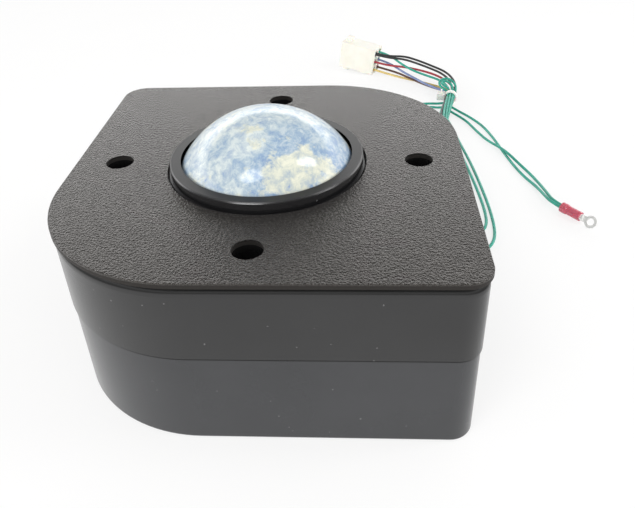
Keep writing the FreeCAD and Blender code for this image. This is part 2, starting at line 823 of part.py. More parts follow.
# Seven wires fan out from the bundle's end to the connector
WIRE_ROUTES = {
    "blue_wire": [
        (99.6, 217.2, 4), (99.4, 225, 3.6), (92.5, 232.5, 3.4), (85, 239.5, 4.2),
        (77.5, 249.5, 5), (69.8, 260.5, 5.7), (60.2, 271.4, 8.8), (49.9, 276.4, 10.5),
    ],
    "brown_wire": [
        (101.2, 216.8, 4), (101.2, 227, 2.6), (94, 235.5, 1.5), (85.5, 242, 2.2),
        (76.5, 251.5, 3), (67.5, 262.5, 3.5), (59.4, 272, 2.8), (49.1, 276.8, 4.2),
    ],
    "yellow_wire": [
        (102.8, 216.4, 4), (103.6, 227.8, 2.4), (98, 239, 1), (88, 247.5, 0.9),
        (77.4, 254.8, 0.95), (68, 260, 1.25), (57, 266.2, 2.4), (46.5, 271, 4.2),
    ],
    "red_wire": [
        (104.4, 216, 4), (106.2, 227, 3.2), (103.4, 240, 4.2), (95.4, 250.5, 6),
        (83.5, 258, 7.4), (70.5, 262.8, 8.5), (57.8, 265.8, 8.8), (47.3, 270.6, 10.5),
    ],
    "green_wire": [
        (100.4, 217, 5.7), (101.6, 228, 5.4), (97, 240, 6.2), (87, 247.5, 7.2),
        (77.5, 254, 8.6), (69, 262.6, 10.9), (61, 271.4, 14.6), (50.7, 276, 16.8),
    ],
    "near_black_wire": [
        (102, 216.6, 5.7), (103.8, 227.4, 5.2), (103.2, 240.5, 6.4), (98.5, 250, 7.8), (90, 257.5, 9.2),
        (80.5, 263.4, 11), (70.7, 266.4, 13.4), (58.2, 264.8, 15.1), (47.7, 269.5, 16.8),
    ],
    "far_black_wire": [
        (103.6, 216.2, 5.7), (106.4, 227, 5.1), (106.5, 241, 6.2), (101.8, 252.5, 8), (92, 261, 9.6),
        (82, 267.1, 11.8), (71.6, 270, 14.3), (59, 266.4, 15.6), (48.4, 271.1, 16.8),
    ],
    "outer_ground_wire": [
        (98.5, 203, 2.8), (104, 198, 1), (110.5, 188.5, 0.85), (117, 175, 0.85), (120.4, 160.5, 0.85),
        (122.6, 147, 0.85), (124.1, 136, 0.85), (126.8, 120.4, 0.85), (130.3, 106.5, 0.85),
        (134.2, 96, 1.2), (135.6, 85.3, 2.6), (137.3, 75, 3.6), (143.8, 66.8, 3.3),
    ],
    "inner_ground_wire": [
        (97, 196.5, 2.4), (103, 190.5, 0.95), (108, 181.5, 0.85), (112.5, 165.4, 0.85), (117, 151.5, 1.2),
        (122.2, 140, 2.7), (126, 131, 2.7), (130.4, 121, 1.2), (134.4, 109.5, 0.85),
        (136.9, 97.4, 1.2), (137.7, 86.9, 2.6), (138.7, 76.1, 3.6), (145.2, 67.8, 3.3),
    ],
    "long_slack_loop": [
        (93.8, 190, 2), (97, 176, 0.95), (98.9, 153, 0.85), (102.1, 127, 0.85), (104.2, 98, 0.85),
        (105.2, 72, 0.85), (104.4, 51.5, 0.85), (101.2, 41, 0.85), (95.2, 34.6, 0.85), (87.4, 35, 0.85),
        (84.6, 42, 0.85), (88.6, 47.8, 0.85), (96, 50.6, 0.85), (100.8, 56.5, 0.85), (102.4, 69.5, 0.85),
        (101.5, 95, 0.85), (99.2, 124, 0.85), (96.6, 148, 0.85), (94.2, 165, 1), (92.2, 176.5, 2),
    ],
    "short_slack_loop": [
        (97.5, 207.5, 2.8), (92.5, 210, 1), (86.6, 211, 0.85), (80.6, 210.2, 0.85), (75, 211.2, 0.85),
        (70.2, 209.4, 0.85), (67.8, 205, 0.85), (69.4, 200.2, 0.85), (74, 198.4, 0.85), (78.4, 200.8, 0.85),
        (82, 204.4, 0.85), (86.6, 204.9, 0.9), (91, 202.8, 1.2), (95, 200.6, 2.4),
    ],
    "outer_slack_curl": [
        (104.6, 217.4, 7.2), (105.6, 222.3, 8.2), (104.7, 227.3, 9.6), (101.5, 231.2, 11),
        (97, 231.4, 11), (93.7, 227.4, 10), (94.8, 222, 8.3), (98.9, 218.6, 6.8),
    ],
    "inner_slack_curl": [
        (102.6, 217.8, 7.5), (102.9, 221.6, 8.8), (102, 225.3, 9.7), (99.6, 228.2, 10.4),
        (96.6, 227.8, 10.5), (95.4, 225.3, 10.2), (97.3, 221.4, 9.3), (100.1, 218.9, 8.3),
    ],
}
# Turns in degrees about Z, then Y, then X
TIE_TURN = FreeCAD.Rotation(73.9, -2.4, 0)
CONNECTOR_TURN = FreeCAD.Rotation(-25, 8, 0)
CONNECTOR_FACE = (50.8, 272.5, 10.25)
TERMINAL_TURN = FreeCAD.Rotation(-51.7, 1.5, 57)
TERMINAL_MOUTH = (141.7, 70.9, 3.4)
ARC_SHARE = 0.45


def cord_path(points):
    """Straight runs joined by tangent arcs, each as large as its two runs allow, and the arcs' radii."""
    spots = [FreeCAD.Vector(*point) for point in points]
    edges = []
    radii = []
    start = spots[0]
    for before, spot, after in zip(spots, spots[1:], spots[2:]):
        back = before - spot
        ahead = after - spot
        reach = ARC_SHARE * min(back.Length, ahead.Length)
        half_turn = (math.pi - back.getAngle(ahead)) / 2
        radius = reach / math.tan(half_turn)
        back.normalize()
        ahead.normalize()
        inward = back + ahead
        inward.normalize()
        entry = spot + back * reach
        leave = spot + ahead * reach
        middle = spot + inward * (math.hypot(radius, reach) - radius)
        edges.append(Part.LineSegment(start, entry).toShape())
        edges.append(Part.Arc(entry, middle, leave).toShape())
        radii.append(radius)
        start = leave
    edges.append(Part.LineSegment(start, spots[-1]).toShape())
    return Part.Wire(edges), radii


def make_cord(name, diameter, points):
    """A round cord swept along its route."""
    path, radii = cord_path(points)
    radius = diameter.value / 2
    start = FreeCAD.Vector(*points[0])
    section = Part.Wire([Part.Circle(start, FreeCAD.Vector(*points[1]) - start, radius).toShape()])
    tube = path.makePipeShell([section], True, False)
    full = math.pi * radius ** 2 * path.Length
    if abs(tube.Volume - full) > 0.01 * full:
        raise RuntimeError("%s holds %.1f, not %.1f" % (name, tube.Volume, full))
    print("%s: %.1f long, arc radii %s" % (name, path.Length, ", ".join("%.1f" % each for each in radii)))
    node = doc.addObject("Part::Feature", name)
    node.Label = name
    node.Shape = tube
    return node


def make_grommet():
    """A flanged rubber ring in the harness hole, clear of the wall's curve on the inside."""
    bore = dim.bundle_diameter / 2
    flange = exit_hole_radius + dim.grommet_flange
    outer = exit_reach
    inner = exit_reach - dim.side_wall - dim.lower_step - dim.grommet_ease
    body = new_body("harness_grommet")
    sketch = new_sketch(body, "grommet_section")
    draw_profile(sketch, [
        (inner - dim.grommet_flange_depth, bore),
        (inner - dim.grommet_flange_depth, flange),
        (inner, flange),
        (inner, exit_hole_radius),
        (outer, exit_hole_radius),
        (outer, flange),
        (outer + dim.grommet_flange_depth, flange),
        (outer + dim.grommet_flange_depth, bore),
    ])
    turn_profile(body, sketch)
    place(body, (0, 0, dim.seam_height), FreeCAD.Rotation(AXIS_Z, 45))
    return body


def make_cable_tie():
    """A band round the bundle, with its locking head on the left and the cut tail standing out of it."""
    body = new_body("cable_tie")
    inner = dim.bundle_diameter / 2
    outer = inner + dim.tie_band
    half = dim.tie_width / 2
    band = new_sketch(body, "tie_band_section")
    draw_profile(band, [(-half, inner), (-half, outer), (half, outer), (half, inner)])
    turn_profile(body, band)
    head = new_sketch(body, "tie_head", at=(0, 0, -dim.tie_head_height / 2))
    near = inner + dim.tie_band / 2
    far = near + dim.tie_head_width
    draw_rectangle(head, -dim.tie_head_length / 2, near, dim.tie_head_length / 2, far)
    pad(body, head, dim.tie_head_height)
    tail = new_sketch(body, "tie_tail", at=(0, 0, dim.tie_head_height / 2))
    middle = near + dim.tie_head_width / 2
    draw_rectangle(tail, -half, middle - dim.tie_band / 2, half, middle + dim.tie_band / 2)
    pad(body, tail, dim.tie_tail_length)
    end = FreeCAD.Vector(*BUNDLE_ROUTE[-1])
    along = TIE_TURN.multVec(FreeCAD.Vector(1, 0, 0))
    place(body, [formula(end[axis]) - dim.tie_setback * along[axis] for axis in range(3)], TIE_TURN)
    return body


def contact_places():
    """Two columns of three contacts, as seen on the connector's wire face."""
    pitch = dim.contact_pitch
    return [(pitch * column, pitch * row) for column in (-0.5, 0.5) for row in (-1, 0, 1)]


def draw_contacts(sketch, radius):
    for across, up in contact_places():
        draw_circle(sketch, across, up, radius)


def make_connector():
    """A six way nylon housing: wire holes at one end, a shroud with six silos at the other."""
    body = new_body("connector_housing")
    wide = dim.connector_width / 2
    high = dim.connector_height / 2
    mating = -dim.connector_length
    block = new_sketch(body, "connector_block", role="YZ_Plane", at=(0, 0, mating))
    draw_rectangle(block, -wide, -high, wide, high)
    solid = pad(body, block, dim.connector_length)
    long_edges = []
    for index, edge in enumerate(solid.Shape.Edges, start=1):
        if abs(edge.BoundBox.XLength - dim.connector_length.value) < 1e-6:
            long_edges.append("Edge%d" % index)
    rounding = body.newObject("PartDesign::Fillet", "connector_rounding")
    rounding.Base = (solid, long_edges)
    bind(rounding, "Radius", dim.connector_edge_round)
    doc.recompute()

    # A locking lug above and below, near the mating end
    lugs = new_sketch(body, "connector_lugs", role="XZ_Plane", at=(0, 0, -dim.lug_width / 2))
    tip = dim.lug_start + dim.lug_length
    bite = high - dim.shroud_wall / 2
    for sign in (1, -1):
        draw_profile(lugs, [
            (-tip - dim.lug_slope, bite * sign),
            (-tip, (high + dim.lug_height) * sign),
            (-dim.lug_start, (high + dim.lug_height) * sign),
            (-dim.lug_start, bite * sign),
        ])
    pad(body, lugs, dim.lug_width)

    shroud = new_sketch(body, "connector_shroud", role="YZ_Plane", at=(0, 0, mating))
    inner_wide = wide - dim.shroud_wall
    inner_high = high - dim.shroud_wall
    draw_rectangle(shroud, -inner_wide, -inner_high, inner_wide, inner_high)
    pocket(body, shroud, dim.shroud_depth, reverse=True)
    silos = new_sketch(body, "connector_silos", role="YZ_Plane", at=(0, 0, mating + dim.silo_setback))
    draw_contacts(silos, dim.silo_radius)
    pad(body, silos, dim.shroud_depth)
    entries = new_sketch(body, "connector_entries", role="YZ_Plane")
    draw_contacts(entries, dim.contact_entry_radius)
    pocket(body, entries, dim.contact_entry_depth)
    bores = new_sketch(body, "connector_bores", role="YZ_Plane")
    draw_contacts(bores, dim.contact_radius)
    pocket(body, bores, dim.connector_length)
    place(body, CONNECTOR_FACE, CONNECTOR_TURN)
    return body


def make_contacts():
    """Six crimped contacts, one in each bore of the connector."""
    pieces = []
    for number, (across, up) in enumerate(contact_places(), start=1):
        body = new_body("contact_%d" % number)
        tip = dim.contact_setback - dim.connector_length
        sketch = new_sketch(body, "contact_%d_round" % number, role="YZ_Plane", at=(0, 0, tip))
        draw_circle(sketch, across, up, dim.contact_radius)
        pad(body, sketch, dim.contact_stub - dim.contact_entry_depth - tip)
        place(body, CONNECTOR_FACE, CONNECTOR_TURN)
        pieces.append(body)
    return group("connector_contacts", pieces)


def make_terminal_sleeve():
    """The insulating sleeve, flared where the wires go in."""
    bore = dim.sleeve_bore_radius
    body = new_body("terminal_sleeve")
    sketch = new_sketch(body, "sleeve_section")
    draw_profile(sketch, [
        (0, bore),
        (0, dim.sleeve_mouth_radius),
        (dim.sleeve_mouth_length, dim.sleeve_mouth_radius),
        (dim.sleeve_mouth_length + dim.sleeve_mouth_taper, dim.sleeve_radius),
        (dim.sleeve_length, dim.sleeve_radius),
        (dim.sleeve_length, bore),
    ])
    turn_profile(body, sketch)
    place(body, TERMINAL_MOUTH, TERMINAL_TURN)
    return body


def make_ring_terminal():
    """A crimped barrel inside the sleeve, a flat tongue and a ring for an earth screw."""
    body = new_body("ring_terminal")
    barrel_end = dim.barrel_start + dim.barrel_length
    barrel = new_sketch(body, "barrel_section")
    draw_rectangle(barrel, dim.barrel_start, 0, barrel_end, dim.sleeve_bore_radius)
    turn_profile(body, barrel)
    low = (0, 0, -dim.tongue_thickness / 2)
    tongue = new_sketch(body, "terminal_tongue", at=low)
    width = dim.tongue_width / 2
    draw_rectangle(tongue, barrel_end - dim.tongue_root, -width, dim.ring_reach, width)
    pad(body, tongue, dim.tongue_thickness)
    ring = new_sketch(body, "terminal_ring", at=low)
    draw_circle(ring, dim.ring_reach, 0, dim.ring_radius)
    pad(body, ring, dim.tongue_thickness)
    hole = new_sketch(body, "terminal_hole", at=(0, 0, dim.tongue_thickness / 2))
    draw_circle(hole, dim.ring_reach, 0, dim.ring_hole_radius)
    pocket(body, hole, dim.tongue_thickness)
    place(body, TERMINAL_MOUTH, TERMINAL_TURN)
    return body


keep(make_grommet())
keep(make_cord("x_board_lead", dim.lead_diameter, X_LEAD_ROUTE))
keep(make_cord("y_board_lead", dim.lead_diameter, [(y, x, z) for x, y, z in X_LEAD_ROUTE]))
keep(make_cord("harness_bundle", dim.bundle_diameter, BUNDLE_ROUTE))
for wire_name, route in WIRE_ROUTES.items():
    keep(make_cord(wire_name, dim.wire_diameter, route))
keep(make_cable_tie())
keep(make_connector())
keep(make_contacts())
keep(make_terminal_sleeve())
keep(make_ring_terminal())


def check_and_write():
    """Write each node's solids once every object in the document is sound."""
    doc.recompute()
    for item in doc.Objects:
        if "Invalid" in item.State or "Error" in item.State:
            raise RuntimeError("%s failed: %s" % (item.Name, item.State))
    os.makedirs("parts", exist_ok=True)
    for node in nodes:
        shape = node.Shape
        if shape.isNull() or not shape.isValid() or not shape.Solids:
            raise RuntimeError(node.Label + " has no sound solid")
    for node in nodes:
        node.Shape.exportStep("parts/%s.step" % node.Label)
        box = node.Shape.BoundBox
        low = tuple(round(value, 1) for value in (box.XMin, box.YMin, box.ZMin))
        high = tuple(round(value, 1) for value in (box.XMax, box.YMax, box.ZMax))
        print("%-24s %d solid(s) from %s to %s" % (node.Label, len(node.Shape.Solids), low, high))


check_and_write()
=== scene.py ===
import json
import math

import bmesh
import bpy
from mathutils import Matrix, Vector


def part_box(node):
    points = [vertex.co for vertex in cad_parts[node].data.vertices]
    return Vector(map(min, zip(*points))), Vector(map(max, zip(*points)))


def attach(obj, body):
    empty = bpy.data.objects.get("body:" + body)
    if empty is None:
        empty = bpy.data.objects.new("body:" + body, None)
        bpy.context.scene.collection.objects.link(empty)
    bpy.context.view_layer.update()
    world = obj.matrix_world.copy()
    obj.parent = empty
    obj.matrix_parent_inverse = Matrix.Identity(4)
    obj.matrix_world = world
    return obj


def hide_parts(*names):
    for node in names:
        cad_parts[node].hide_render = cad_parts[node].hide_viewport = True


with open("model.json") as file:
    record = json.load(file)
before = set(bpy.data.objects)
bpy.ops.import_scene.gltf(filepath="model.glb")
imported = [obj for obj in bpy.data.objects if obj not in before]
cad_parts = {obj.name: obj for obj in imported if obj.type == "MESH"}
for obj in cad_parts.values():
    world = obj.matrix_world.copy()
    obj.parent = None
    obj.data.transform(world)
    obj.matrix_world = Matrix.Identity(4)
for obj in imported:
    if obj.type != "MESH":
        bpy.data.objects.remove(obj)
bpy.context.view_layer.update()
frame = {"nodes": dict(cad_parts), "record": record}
nodes = frame["nodes"]
MM = 0.001

# Harness routes in millimetres, the same points as the solids follow. The inner curl, too short for a
# cord of its own, stays as its solid and goes with the bundle.
BUNDLE_ROUTE = [
    (54.4, 54.4, 38.5), (66.5, 66.5, 38.5), (78.5, 79.5, 32.4), (86, 93.5, 20), (89.8, 110, 8.8),
    (90.6, 130, 4), (89.3, 153, 3.7), (91.4, 177, 3.6), (96.6, 198.5, 3.9), (102.5, 219, 4.8),
]
WIRE_ROUTES = {
    "blue_wire": [
        (99.6, 217.2, 4), (99.4, 225, 3.6), (92.5, 232.5, 3.4), (85, 239.5, 4.2),
        (77.5, 249.5, 5), (69.8, 260.5, 5.7), (60.2, 271.4, 8.8), (49.9, 276.4, 10.5),
    ],
    "brown_wire": [
        (101.2, 216.8, 4), (101.2, 227, 2.6), (94, 235.5, 1.5), (85.5, 242, 2.2),
        (76.5, 251.5, 3), (67.5, 262.5, 3.5), (59.4, 272, 2.8), (49.1, 276.8, 4.2),
    ],
    "yellow_wire": [
        (102.8, 216.4, 4), (103.6, 227.8, 2.4), (98, 239, 1), (88, 247.5, 0.9),
        (77.4, 254.8, 0.95), (68, 260, 1.25), (57, 266.2, 2.4), (46.5, 271, 4.2),
    ],
    "red_wire": [
        (104.4, 216, 4), (106.2, 227, 3.2), (103.4, 240, 4.2), (95.4, 250.5, 6),
        (83.5, 258, 7.4), (70.5, 262.8, 8.5), (57.8, 265.8, 8.8), (47.3, 270.6, 10.5),
    ],
    "green_wire": [
        (100.4, 217, 5.7), (101.6, 228, 5.4), (97, 240, 6.2), (87, 247.5, 7.2),
        (77.5, 254, 8.6), (69, 262.6, 10.9), (61, 271.4, 14.6), (50.7, 276, 16.8),
    ],
    "near_black_wire": [
        (102, 216.6, 5.7), (103.8, 227.4, 5.2), (103.2, 240.5, 6.4), (98.5, 250, 7.8), (90, 257.5, 9.2),
        (80.5, 263.4, 11), (70.7, 266.4, 13.4), (58.2, 264.8, 15.1), (47.7, 269.5, 16.8),
    ],
    "far_black_wire": [
        (103.6, 216.2, 5.7), (106.4, 227, 5.1), (106.5, 241, 6.2), (101.8, 252.5, 8), (92, 261, 9.6),
        (82, 267.1, 11.8), (71.6, 270, 14.3), (59, 266.4, 15.6), (48.4, 271.1, 16.8),
    ],
    "outer_ground_wire": [
        (98.5, 203, 2.8), (104, 198, 1), (110.5, 188.5, 0.85), (117, 175, 0.85), (120.4, 160.5, 0.85),
        (122.6, 147, 0.85), (124.1, 136, 0.85), (126.8, 120.4, 0.85), (130.3, 106.5, 0.85),
        (134.2, 96, 1.2), (135.6, 85.3, 2.6), (137.3, 75, 3.6), (143.8, 66.8, 3.3),
    ],
    "inner_ground_wire": [
        (97, 196.5, 2.4), (103, 190.5, 0.95), (108, 181.5, 0.85), (112.5, 165.4, 0.85), (117, 151.5, 1.2),
        (122.2, 140, 2.7), (126, 131, 2.7), (130.4, 121, 1.2), (134.4, 109.5, 0.85),
        (136.9, 97.4, 1.2), (137.7, 86.9, 2.6), (138.7, 76.1, 3.6), (145.2, 67.8, 3.3),
    ],
    "long_slack_loop": [
        (93.8, 190, 2), (97, 176, 0.95), (98.9, 153, 0.85), (102.1, 127, 0.85), (104.2, 98, 0.85),
        (105.2, 72, 0.85), (104.4, 51.5, 0.85), (101.2, 41, 0.85), (95.2, 34.6, 0.85), (87.4, 35, 0.85),
        (84.6, 42, 0.85), (88.6, 47.8, 0.85), (96, 50.6, 0.85), (100.8, 56.5, 0.85), (102.4, 69.5, 0.85),
        (101.5, 95, 0.85), (99.2, 124, 0.85), (96.6, 148, 0.85), (94.2, 165, 1), (92.2, 176.5, 2),
    ],
    "short_slack_loop": [
        (97.5, 207.5, 2.8), (92.5, 210, 1), (86.6, 211, 0.85), (80.6, 210.2, 0.85), (75, 211.2, 0.85),
        (70.2, 209.4, 0.85), (67.8, 205, 0.85), (69.4, 200.2, 0.85), (74, 198.4, 0.85), (78.4, 200.8, 0.85),
        (82, 204.4, 0.85), (86.6, 204.9, 0.9), (91, 202.8, 1.2), (95, 200.6, 2.4),
    ],
    "outer_slack_curl": [
        (104.6, 217.4, 7.2), (105.6, 222.3, 8.2), (104.7, 227.3, 9.6), (101.5, 231.2, 11),
        (97, 231.4, 11), (93.7, 227.4, 10), (94.8, 222, 8.3), (98.9, 218.6, 6.8),
    ],
}
WIRE_DIAMETER_MM = 1.6
BUNDLE_DIAMETER_MM = 7.0


class Shader:
    """A material's nodes, with short calls to add and link them."""

    def __init__(self, name):
        self.material = bpy.data.materials.new(name)
        self.material.use_nodes = True
        self.tree = self.material.node_tree
        self.surface = self.tree.nodes["Principled BSDF"]
        self.coordinates = self.tree.nodes.new("ShaderNodeTexCoord").outputs["Object"]

    def add(self, kind, **settings):
        node = self.tree.nodes.new(kind)
        for key, value in settings.items():
            setattr(node, key, value)
        return node

    def link(self, output, target):
        self.tree.links.new(output, target)

    def set(self, **sockets):
        """Constant values on the surface's own sockets, underscores standing for spaces."""
        for name, value in sockets.items():
            self.surface.inputs[name.replace("_", " ")].default_value = value

    def noise(self, size_mm, detail=3.0, roughness=0.55, distortion=0.0, vector=None, layer=0.0):
        """Noise whose features are about so many millimetres across. Each layer is another pattern."""
        node = self.add("ShaderNodeTexNoise", noise_dimensions="4D")
        node.inputs["W"].default_value = layer
        node.inputs["Scale"].default_value = 1 / (size_mm * MM)
        node.inputs["Detail"].default_value = detail
        node.inputs["Roughness"].default_value = roughness
        node.inputs["Distortion"].default_value = distortion
        self.link(vector or self.coordinates, node.inputs["Vector"])
        return node.outputs["Fac"]

    def warped(self, size_mm, reach_mm):
        """Coordinates pushed about by noise, so that a regular pattern turns ragged."""
        drift = self.add("ShaderNodeTexNoise")
        drift.inputs["Scale"].default_value = 1 / (size_mm * MM)
        drift.inputs["Detail"].default_value = 5
        self.link(self.coordinates, drift.inputs["Vector"])
        push = self.add("ShaderNodeVectorMath", operation="MULTIPLY_ADD")
        push.inputs[1].default_value = (reach_mm * MM,) * 3
        self.link(drift.outputs["Color"], push.inputs[0])
        self.link(self.coordinates, push.inputs[2])
        return push.outputs["Vector"]

    def ramp(self, factor, stops):
        node = self.add("ShaderNodeValToRGB")
        elements = node.color_ramp.elements
        while len(elements) < len(stops):
            elements.new(0.5)
        for element, (position, colour) in zip(elements, stops):
            element.position = position
            element.color = (*colour, 1)
        self.link(factor, node.inputs["Fac"])
        return node.outputs["Color"]

    def mix(self, factor, first, second):
        node = self.add("ShaderNodeMix", data_type="RGBA")
        if isinstance(factor, float):
            node.inputs["Factor"].default_value = factor
        else:
            self.link(factor, node.inputs["Factor"])
        for value, socket in ((first, node.inputs["A"]), (second, node.inputs["B"])):
            self.link(value, socket)
        return node.outputs["Result"]

    def spread(self, factor, low, high, start=0.3, end=0.7):
        """Stretch a factor, by default a middling noise, to a range of values."""
        node = self.add("ShaderNodeMapRange")
        node.inputs["From Min"].default_value = start
        node.inputs["From Max"].default_value = end
        node.inputs["To Min"].default_value = low
        node.inputs["To Max"].default_value = high
        self.link(factor, node.inputs["Value"])
        return node.outputs["Result"]

    def above(self, level_mm, low, high):
        """One value below a level of the object and another above it."""
        fade_mm = 0.4
        parts = self.add("ShaderNodeSeparateXYZ")
        self.link(self.coordinates, parts.inputs["Vector"])
        return self.spread(parts.outputs["Z"], low, high, level_mm * MM, (level_mm + fade_mm) * MM)

    def math(self, operation, first, second):
        """One factor worked out from two."""
        node = self.add("ShaderNodeMath", operation=operation)
        self.link(first, node.inputs[0])
        self.link(second, node.inputs[1])
        return node.outputs[0]

    def between(self, foot_mm, top_mm):
        """One in a band of the object's height, and nought elsewhere."""
        return self.math("MULTIPLY", self.above(foot_mm, 0, 1), self.above(top_mm, 1, 0))

    def colour(self, output):
        self.link(output, self.surface.inputs["Base Color"])

    def rough(self, factor, low, high):
        self.link(self.spread(factor, low, high), self.surface.inputs["Roughness"])

    def bump(self, height, depth_mm):
        node = self.add("ShaderNodeBump")
        node.inputs["Strength"].default_value = 1
        node.inputs["Distance"].default_value = depth_mm * MM
        self.link(height, node.inputs["Height"])
        self.link(node.outputs["Normal"], self.surface.inputs["Normal"])


def moulded(name, dark, light, grain_mm, roughness, depth_mm=0.01, **sockets):
    """Moulded or extruded plastic: a slightly uneven colour, sheen and surface."""
    grains_in_patch = 12
    shader = Shader(name)
    patches = shader.noise(grain_mm * grains_in_patch, detail=2)
    grain = shader.noise(grain_mm, detail=4)
    shader.colour(shader.ramp(patches, [(0.3, dark), (0.7, light)]))
    shader.rough(patches, roughness - 0.05, roughness + 0.07)
    shader.bump(grain, depth_mm)
    shader.set(**sockets)
    return shader.material


def metal(name, dark, light, roughness, metallic):
    """Ground or plated metal with fine marks."""
    mark_mm, mark_depth_mm = 0.4, 0.004
    shader = Shader(name)
    marks = shader.noise(mark_mm, detail=5)
    shader.colour(shader.ramp(marks, [(0.3, dark), (0.7, light)]))
    shader.rough(marks, roughness - 0.08, roughness + 0.1)
    shader.bump(marks, mark_depth_mm)
    shader.set(Metallic=metallic)
    return shader.material


def powder_coat():
    """Black coating with a leathery grain on top whose raised tops carry painted highlights, which shines
    at a low angle, and a plain edge darkened as painted shade.
    """
    grain_mm, relief_mm, edge_drop_mm = 0.8, 0.34, 0.6
    edge_roughness, top_roughness = 0.75, 0.26
    shader = Shader("plate_coat")
    top_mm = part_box("mounting_plate")[1].z / MM
    on_top = shader.above(top_mm - edge_drop_mm, 0, 1)
    grain = shader.noise(grain_mm, detail=2, roughness=0.5)
    height = shader.spread(grain, 0, 1, 0.2, 0.8)
    # Raised grain tops are coloured lighter: painted highlights on the relief.
    grain_with_painted_highlights = shader.ramp(height, [(0.3, (0.004, 0.0038, 0.0035)), (0.7, (0.022, 0.021, 0.0195))])
    # The edge is a darker copy of the coat: painted shade.
    painted_shade_edge = shader.ramp(grain, [(0.3, (0.002, 0.002, 0.002)), (0.7, (0.004, 0.004, 0.004))])
    shader.colour(shader.mix(on_top, painted_shade_edge, grain_with_painted_highlights))
    shader.link(
        shader.spread(on_top, edge_roughness, top_roughness, 0, 1), shader.surface.inputs["Roughness"])
    shader.bump(shader.math("MULTIPLY", height, on_top), relief_mm)
    shader.set(IOR=1.55, Specular_Tint=(1, 0.91, 0.84, 1), Sheen_Weight=0.08, Sheen_Roughness=0.35)
    return shader.material


def housing_plastic():
    """Semi-gloss black moulding, greyer below the seam as painted reflection of the floor, with some dust.

    The parting line and a strip close under the plate are darker and shine less, as painted shade.
    """
    patch_mm, dust_spacing_mm, grain_mm, grain_depth_mm = 30, 5.5, 0.6, 0.006
    line_foot_mm, line_top_mm, strip_mm, lip_foot_mm = 37.8, 38.4, 2.8, 74.0
    shine, shaded_shine = 0.65, 0.15
    wall_roughness, lip_roughness = 0.22, 0.46
    plate_foot_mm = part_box("mounting_plate")[0].z / MM
    shader = Shader("black_housing")
    patches = shader.noise(patch_mm, detail=3)
    dust = shader.add("ShaderNodeTexVoronoi")
    dust.inputs["Scale"].default_value = 1 / (dust_spacing_mm * MM)
    shader.link(shader.warped(size_mm=1.6, reach_mm=1.5), dust.inputs["Vector"])
    specks = shader.ramp(dust.outputs["Distance"], [(0.03, (1, 1, 1)), (0.06, (0, 0, 0))])
    upper = shader.ramp(patches, [(0.3, (0.007, 0.007, 0.0075)), (0.7, (0.011, 0.011, 0.0115))])
    # The lower half's lighter colour is painted reflection of the floor.
    lower_with_painted_reflection = shader.ramp(patches, [(0.3, (0.02, 0.021, 0.0235)), (0.7, (0.027, 0.028, 0.031))])
    lint = shader.ramp(patches, [(0.3, (0.08, 0.08, 0.08)), (0.7, (0.17, 0.17, 0.17))])
    # Painted shade for the parting line and the strip under the plate's overhang.
    shade = shader.ramp(patches, [(0.3, (0.006, 0.006, 0.006)), (0.7, (0.01, 0.01, 0.01))])
    painted_seam_shade = shader.between(line_foot_mm, line_top_mm)
    painted_shade_under_plate = shader.between(plate_foot_mm - strip_mm, plate_foot_mm)
    shaded = shader.math("MAXIMUM", painted_seam_shade, painted_shade_under_plate)
    skin = shader.mix(shader.above(line_top_mm, 0, 1), lower_with_painted_reflection, upper)
    shader.colour(shader.mix(shaded, shader.mix(specks, skin, lint), shade))
    shader.link(
        shader.spread(shaded, shine, shaded_shine, 0, 1), shader.surface.inputs["Specular IOR Level"])
    shader.link(
        shader.above(lip_foot_mm, wall_roughness, lip_roughness), shader.surface.inputs["Roughness"])
    shader.bump(shader.noise(grain_mm, detail=3), grain_depth_mm)
    return shader.material


def marbled_ball():
    """Polished ball with a generic marbling of pale blues, white and cream under a clear surface."""
    shader = Shader("marbled_ball")
    swirled = shader.warped(size_mm=22, reach_mm=6)
    clouds = shader.noise(27, detail=9, roughness=0.62, vector=swirled, layer=3.0)
    patches = shader.noise(25, detail=14, roughness=0.68, vector=swirled, layer=7.4)
    crackle = shader.noise(4, detail=10, roughness=0.76, distortion=0.5, vector=swirled, layer=1.7)
    sea = shader.ramp(clouds, [
        (0.38, (0.17, 0.27, 0.45)),
        (0.46, (0.28, 0.39, 0.52)),
        (0.54, (0.41, 0.50, 0.56)),
        (0.63, (0.62, 0.67, 0.66)),
    ])
    haze = shader.ramp(crackle, [
        (0.42, (0.18, 0.28, 0.46)),
        (0.5, (0.41, 0.50, 0.56)),
        (0.58, (0.70, 0.74, 0.70)),
    ])
    land = shader.ramp(crackle, [
        (0.4, (0.42, 0.48, 0.50)),
        (0.5, (0.60, 0.62, 0.53)),
        (0.6, (0.71, 0.71, 0.59)),
    ])
    depth = shader.ramp(crackle, [(0.3, (0.17, 0.25, 0.48)), (0.5, (0.28, 0.38, 0.60))])
    coast = shader.ramp(patches, [(0.515, (0, 0, 0)), (0.55, (1, 1, 1))])
    thin = shader.ramp(crackle, [(0.33, (1, 1, 1)), (0.38, (0, 0, 0))])
    water = shader.mix(0.5, sea, haze)
    shader.colour(shader.mix(thin, shader.mix(coast, water, land), depth))
    shader.rough(patches, 0.08, 0.11)
    shader.set(Specular_IOR_Level=0.4)
    return shader.material


